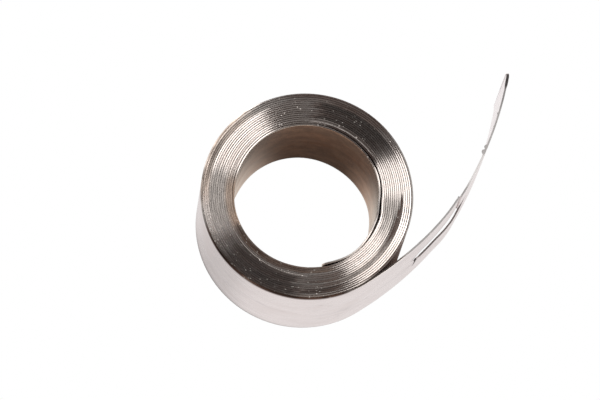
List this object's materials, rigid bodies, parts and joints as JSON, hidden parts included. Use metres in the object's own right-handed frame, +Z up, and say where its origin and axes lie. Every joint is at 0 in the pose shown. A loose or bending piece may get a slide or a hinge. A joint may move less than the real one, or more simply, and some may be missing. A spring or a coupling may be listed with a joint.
{
  "type": "constant force spring",
  "caption": "Flat spring-steel strip wound on itself into a tight open-centred coil, its slotted outer end paid out as a curved tail, for a constant pull.",
  "frame": {"origin": "on the axis of the coil's innermost turn, in the plane of the strip's lower edges that the coil stands on", "axes": "+Z up along the coil's axis; the tail leaves the coil on the +X side and runs towards +Y; seen from +Z the strip winds outward counter-clockwise"},
  "size_m": [0.0594, 0.0609, 0.025],
  "materials": {
    "spring_steel": "bright cold-rolled spring steel with fine rolling lines and rounded, slightly uneven slit edges; brownish temper film inside the coil"
  },
  "bodies": {
    "root": {"spring_strip": "spring_steel"}
  },
  "joints": []
}
